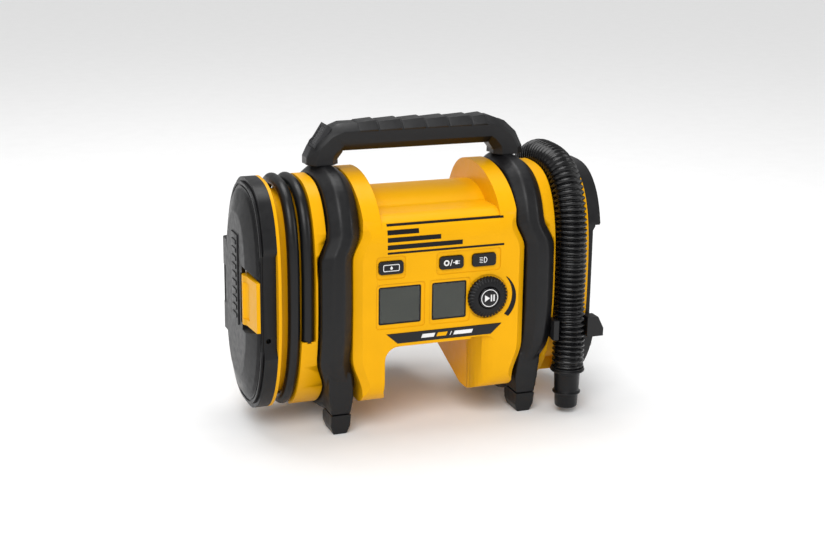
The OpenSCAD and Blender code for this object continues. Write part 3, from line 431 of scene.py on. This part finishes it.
def air_hose():
    """The thin smooth hose, wound round the left drum, with its chuck hanging at the back."""
    path, length = smooth_path(air_route(), 2.5)
    hose = loft("thin_hose", tube_rings(path, lambda i: AIR_D / 2, 28), HOSE, nodes=["air_hose"], sharp=80)
    end = path[-1]
    grip = [(3, end.z - 44), (4, end.z - 44), (4.8, end.z - 43.4), (5, end.z - 42.6)]
    for i in range(9):
        z = end.z - 40 + i * 2.8
        grip += [(5, z - 0.7), (4.5, z), (4.5, z + 0.8), (5, z + 1.4)]
    grip += [(5, end.z - 13.8), (5.5, end.z - 13.5), (5.7, end.z - 12.9), (5.7, end.z - 2),
             (5.2, end.z - 1.1), (3, end.z - 0.9)]
    chuck = lathe("tyre_chuck", grip, (end.x, end.y), BLACK, nodes=["air_chuck"])


# ------------------------------------------------------------------ panel

DIAL_X, DIAL_Z, DIAL_PROUD, START_PROUD = 46.3, 129.4, 6, 7.2
TANK_X, MODE_X, LAMP_X, BUTTON_Z, BUTTON_PROUD = -51.6, 9.1, 42.5, 166.2, 1
TRIM_Z0, TRIM_Z1, TRIM_LEAN, TRIM_PROUD = 94.4, 98.2, 1.6, 0.5
WINDOW_Z0, WINDOW_Z1, WINDOW_SUNK, BORDER_W = 110.6, 147.1, 1.22, 1.3
PRINT_T, PRINT_PROUD = 0.12, 0.06
WHITE_SLOT = "light_board_white"


def flat(name, outline, face, thick, skin, **kind):
    """A thin plate with an (x, z) outline whose front is at a depth and which reaches back."""
    rings = [[(x, y, z) for x, z in outline] for y in (face, face + thick)]
    return loft(name, rings, skin, **kind)


def band(name, outer, inner, face, thick, skin, **kind):
    """A thin closed band between two outlines of as many points."""
    rings = [[(a[0], face, a[1]), (b[0], face, b[1]), (b[0], face + thick, b[1]),
              (a[0], face + thick, a[1])] for a, b in zip(outer, inner)]
    return loft(name, rings, skin, closed=True, **kind)


def circle(x, z, radius, start=0, end=360, count=64):
    """Points along a circle or an arc, in degrees."""
    full = end - start == 360
    turns = [math.radians(start + (end - start) * i / count) for i in range(count + (not full))]
    return [(x + radius * math.cos(t), z + radius * math.sin(t)) for t in turns]


def soft_box(x0, x1, z0, z1, radius):
    """A rectangle with round corners."""
    corners = ((x1, z1, 0), (x0, z1, 90), (x0, z0, 180), (x1, z0, 270))
    points = []
    for x, z, start in corners:
        cx = x - radius if x == x1 else x + radius
        cz = z - radius if z == z1 else z + radius
        points += circle(cx, cz, radius, start, start + 90, 8)
    return points


def box_outline(x0, x1, z0, z1, slant=0.0):
    """A bar whose two ends lean over by the same amount."""
    return [(x0, z0), (x1, z0), (x1 + slant, z1), (x0 + slant, z1)]


def knurled_dial():
    """The dial: ribs run over its outer wall and its bevel, round a recess for the button."""
    # A profile point holds a radius, a depth from the panel and how deep the ribs cut there.
    sides, ribs, bevel_y, bevel_slope = 360, 36, -3, 0.45
    profile = [(4.1, -3.45, 0), (10.7, -3.45, 0), (10.8, -5.4, 0), (11.3, -DIAL_PROUD, 0),
               (15.2, -DIAL_PROUD, 0), (15.8, -DIAL_PROUD + 0.1, 0.3), (19, -4.3, 0.75),
               (20.2, -3.2, 0.9), (20.2, 0, 0.9), (19.4, 0.5, 0), (8, 0.5, 0), (8, 8, 0), (4.1, 8, 0)]
    rings = []
    for t in turns(sides):
        dip = step(0.5 - 0.5 * math.cos(ribs * t), 0.35, 0.75)
        rings.append([(DIAL_X + (r - cut * dip) * math.cos(t),
                       PANEL_Y + y + bevel_slope * cut * dip * (y < bevel_y),
                       DIAL_Z + (r - cut * dip) * math.sin(t)) for r, y, cut in profile])
    loft("knurled_dial", rings, BLACK, closed=True, nodes=["dial"], body="dial", sharp=40)


def start_button():
    """The button in the dial, slightly domed, with a ring and play and pause signs."""
    face, sides = PANEL_Y - START_PROUD, 96
    profile = [(0.01, 0.05), (6.6, 0.05), (7, 0.15), (9.2, 0.3), (10.1, 0.7), (10.45, 1.3),
               (10.45, 2.2), (4, 2.2), (4, 5.2), (0.01, 5.2)]
    rings = [[(DIAL_X + r * math.cos(t), face + y, DIAL_Z + r * math.sin(t)) for r, y in profile]
             for t in turns(sides)]
    loft("start_cap", rings, GLOSSY, closed=True, nodes=["start_button"], body="start_button")
    kind = {"body": "start_button", "slot": WHITE_SLOT}
    front = face - 0.03
    band("start_ring", circle(DIAL_X, DIAL_Z, 8.7), circle(DIAL_X, DIAL_Z, 7.9), front + 0.15, 0.4,
         WHITE, **kind)
    play = [(DIAL_X - 5, DIAL_Z - 3.4), (DIAL_X + 0.3, DIAL_Z), (DIAL_X - 5, DIAL_Z + 3.4)]
    flat("play_sign", play, front, PRINT_T, WHITE, **kind)
    for i, x in enumerate((DIAL_X + 1, DIAL_X + 3.7)):
        flat(f"pause_sign_{i}", box_outline(x, x + 1.5, DIAL_Z - 3.3, DIAL_Z + 3.3), front, PRINT_T,
             WHITE, **kind)


def printed(name, outline, body, inner=None):
    """A white printed sign on a push button: a filled outline, or a band round an inner one."""
    face = PANEL_Y - BUTTON_PROUD - PRINT_PROUD
    kind = {"slot": WHITE_SLOT, "body": body}
    if inner:
        band(name, outline, inner, face, PRINT_T, WHITE, **kind)
    else:
        flat(name, outline, face, PRINT_T, WHITE, **kind)


def button_signs():
    """Plain signs on the three push buttons: a display, a choice of two outlets, and a lamp."""
    x, z = TANK_X, BUTTON_Z
    printed("tank_frame", soft_box(x - 8.2, x + 8.2, z - 3.4, z + 3.4, 1.6), "tank_button",
            soft_box(x - 7.4, x + 7.4, z - 2.6, z + 2.6, 0.9))
    printed("tank_drop", [(x, z + 2)] + circle(x, z - 0.3, 1.3, 160, 380, 16), "tank_button")
    x = MODE_X
    printed("mode_ring", circle(x - 5.4, z, 2.9), "mode_button", circle(x - 5.4, z, 1.5))
    bars = {"mode_slash": box_outline(x - 2, x - 1.1, z - 3, z + 3, 1.8),
            "mode_stem": box_outline(x + 1.2, x + 3.4, z - 0.5, z + 0.5),
            "mode_body": box_outline(x + 3.4, x + 6, z - 1.9, z + 1.9)}
    for i, dz in enumerate((-1.1, 1.1)):
        bars[f"mode_prong_{i}"] = box_outline(x + 6, x + 8, z + dz - 0.35, z + dz + 0.35)
    for name, outline in bars.items():
        printed(name, outline, "mode_button")
    x = LAMP_X
    outer = [(x - 0.6, z + 3)] + circle(x, z, 3, 90, -90, 20) + [(x - 0.6, z - 3)]
    inner = [(x + 0.2, z + 2.2)] + circle(x, z, 2.2, 90, -90, 20) + [(x + 0.2, z - 2.2)]
    printed("lamp_sign", outer, "light_button", inner)
    for i in range(4):
        low = z - 2.7 + i * 1.6
        printed(f"lamp_ray_{i}", box_outline(x - 5, x - 1.6, low, low + 0.6), "light_button")


def trim_signs():
    """Plain bars on the trim plate, in place of lettering."""
    face = PANEL_Y - TRIM_PROUD - PRINT_PROUD
    bars = [(-21, -8, WHITE), (-5.4, 4.6, YELLOW), (8.2, 9, WHITE), (12, 31, WHITE)]
    for i, (x0, x1, skin) in enumerate(bars):
        slot = "case_yellow" if skin is YELLOW else WHITE_SLOT
        flat(f"trim_bar_{i}", box_outline(x0, x1, TRIM_Z0, TRIM_Z1, TRIM_LEAN), face, PRINT_T, skin,
             slot=slot)


def display_borders():
    """A dark printed border round each display, on its window."""
    z0, z1, w = WINDOW_Z0, WINDOW_Z1, BORDER_W
    for name, x0, x1 in (("left_border", -63.3, -21.1), ("right_border", -9.8, 25.1)):
        band(name, soft_box(x0, x1, z0, z1, 1.8), soft_box(x0 + w, x1 - w, z0 + w, z1 - w, 0.8),
             PANEL_Y + WINDOW_SUNK, 0.07, PRINT, slot="print_black")


# ------------------------------------------------------------------ handle

BAR_Y, BAR_HALF, BAR_TOP, BAR_CHAMFER = 1, 15.5, 291, 7
PAD_ENDS, PAD_GAP, PAD_SUNK = (-62, -41, -17, 7, 31, 55, 72), 0.8, 0.8


def pad_section(proud, inside):
    """Outline of a pad over the bar, (y, z), from its front chamfer over the top to the back one."""
    sink = PAD_SUNK if inside else 0
    rise = -sink if inside else proud
    low = BAR_TOP - BAR_CHAMFER
    points = [(BAR_HALF - sink, low - 0.6), (BAR_HALF + 0.6 * rise, low + 0.2 + 0.4 * rise),
              (BAR_HALF - BAR_CHAMFER + 0.4 * rise, BAR_TOP + rise)]
    return [(BAR_Y - y, z) for y, z in points] + [(BAR_Y + y, z) for y, z in points[::-1]]


def grip_pads():
    """Raised pads along the top of the bar, one step after another."""
    for i, (start, end) in enumerate(zip(PAD_ENDS, PAD_ENDS[1:])):
        start, end = start + PAD_GAP, end - PAD_GAP
        rings = []
        for x, proud in ((start, 0.1), (start + 0.5, 0.5), (start + 1.2, 0.7), (end - 1.6, 1.8),
                         (end - 0.6, 1.6), (end, 0.1)):
            outer, inner = pad_section(proud, False), pad_section(proud, True)
            rings.append([(x, y, z) for y, z in outer + inner[::-1]])
        loft(f"grip_pad_{i}", rings, FRAME, slot="frame_black", sharp=25)


LIGHT_AT, LIGHT_TILT = (-96.5, 0, 278.7), math.radians(57)
RIB_PITCH, RIB_HALF, RIB_LOW, RIB_HIGH = 3.5, 6.95, 1.4, 2.1


def light_ribs():
    """Thin bars across the work light's lens."""
    along = (math.cos(LIGHT_TILT), math.sin(LIGHT_TILT))
    out = (-math.sin(LIGHT_TILT), math.cos(LIGHT_TILT))

    def place(u, v, n):
        return (LIGHT_AT[0] + u * along[0] + n * out[0], v, LIGHT_AT[2] + u * along[1] + n * out[1])

    for i in range(5):
        u = (i - 2) * RIB_PITCH
        rings = [[place(u - 0.5, v, RIB_LOW), place(u + 0.5, v, RIB_LOW), place(u + 0.35, v, RIB_HIGH),
                  place(u - 0.35, v, RIB_HIGH)] for v in (-RIB_HALF, RIB_HALF)]
        loft(f"light_rib_{i}", rings, GREY, slot="dark_grey")


# ------------------------------------------------------------------ stage and light

MIDDLE = Vector((0, 0, 0.13))


def lamp(kind, name, place, size, energy):
    """A soft light that points at the object. A sun's size is its angle in degrees."""
    data = bpy.data.lights.new(name, kind)
    data.energy = energy
    if kind == "SUN":
        data.angle = math.radians(size)
    else:
        data.size = size
    made = bpy.data.objects.new(name, data)
    made.location = place
    made.rotation_mode = "QUATERNION"
    made.rotation_quaternion = (MIDDLE - made.location).to_track_quat("-Z", "Y")
    bpy.context.collection.objects.link(made)


def pale_floor():
    """A wide round floor that the object stands on."""
    rings, sides = (0.5, 2, 6, 14, 30), 64
    points, faces = [(0, 0, 0)], [(0, 1 + k, 1 + (k + 1) % sides) for k in range(sides)]
    for i, radius in enumerate(rings):
        for k, t in enumerate(turns(sides)):
            points.append((radius * math.cos(t), radius * math.sin(t), 0))
            if i:
                a, b = 1 + (i - 1) * sides, 1 + i * sides
                faces.append((a + k, b + k, b + (k + 1) % sides, a + (k + 1) % sides))
    mesh = bpy.data.meshes.new("floor")
    mesh.from_pydata(points, [], faces)
    mesh.materials.append(material("pale_floor", (0.90, 0.90, 0.90), 0.8, grain=0.05, variation=0.01))
    floor = bpy.data.objects.new("floor", mesh)
    bpy.context.collection.objects.link(floor)


def studio_light():
    """A broad key light, three soft lights and an even white surround."""
    lamp("SUN", "key", (-0.75, -1.3, 1.5), 40, 1.9)
    lamp("AREA", "fill", (1.6, -1.1, 0.8), 0.7, 5)
    lamp("AREA", "top", (-0.1, 0.4, 1.8), 1.2, 18)
    lamp("AREA", "low", (-0.2, -1.8, 0.25), 0.8, 1)
    world = bpy.data.worlds.new("world")
    world.use_nodes = True
    surround = world.node_tree.nodes["Background"]
    surround.inputs["Color"].default_value = (1, 1, 1, 1)
    surround.inputs["Strength"].default_value = 0.42
    bpy.context.scene.world = world
    bpy.context.scene.view_settings.view_transform = "Standard"


photo_camera()
volume_hose()
air_hose()

for node in ("front_case", "rear_case", "left_drum", "right_drum"):
    dress(node, YELLOW)
for node in ("left_rim", "right_rim", "storage_door", "right_cover", "hose_clip", "hose_socket",
             "battery_dock", "battery_pack"):
    dress(node, BLACK)
for node in ("left_frame", "right_frame"):
    soften(node, FRAME, 1.2, 7)
for node in ("front_left_foot", "front_right_foot", "rear_left_foot", "rear_right_foot"):
    soften(node, FRAME, 0.7, 3)
dress("handle_grip", FRAME)
dress("door_latch", YELLOW, bevel=0.5)
dress("battery_release", YELLOW, bevel=0.5)
for node in ("tank_button", "mode_button", "light_button"):
    dress(node, GLOSSY, bevel=0.4)
dress("light_bezel", GREY, bevel=0.6)
dress("trim_plate", GLOSSY)
dress("panel_marks", PRINT)
dress("left_window", TINTED)
dress("right_window", TINTED)
knurled_dial()
start_button()
button_signs()
trim_signs()
display_borders()
grip_pads()
light_ribs()
paint(DISPLAY, "left_display", "right_display")
paint(CLEAR, "light_lens")
paint(WHITE, "light_board")
paint(GREY, "handle_core", "chassis", "impeller")
paint(BLACK, "cone_adaptor", "fan_housing", "fan_cover")
paint(STEEL, "door_pin", "latch_pin", "needle_adaptor", "battery_terminals", "compressor_motor",
      "drive_pinion", "fan_motor", "case_screws")
paint(NYLON, "crank_gear")
paint(BRONZE, "crank_bearing")
paint(ALLOY, "connecting_rod", "piston", "cylinder")
paint(BOARD, "control_board")

pale_floor()
studio_light()
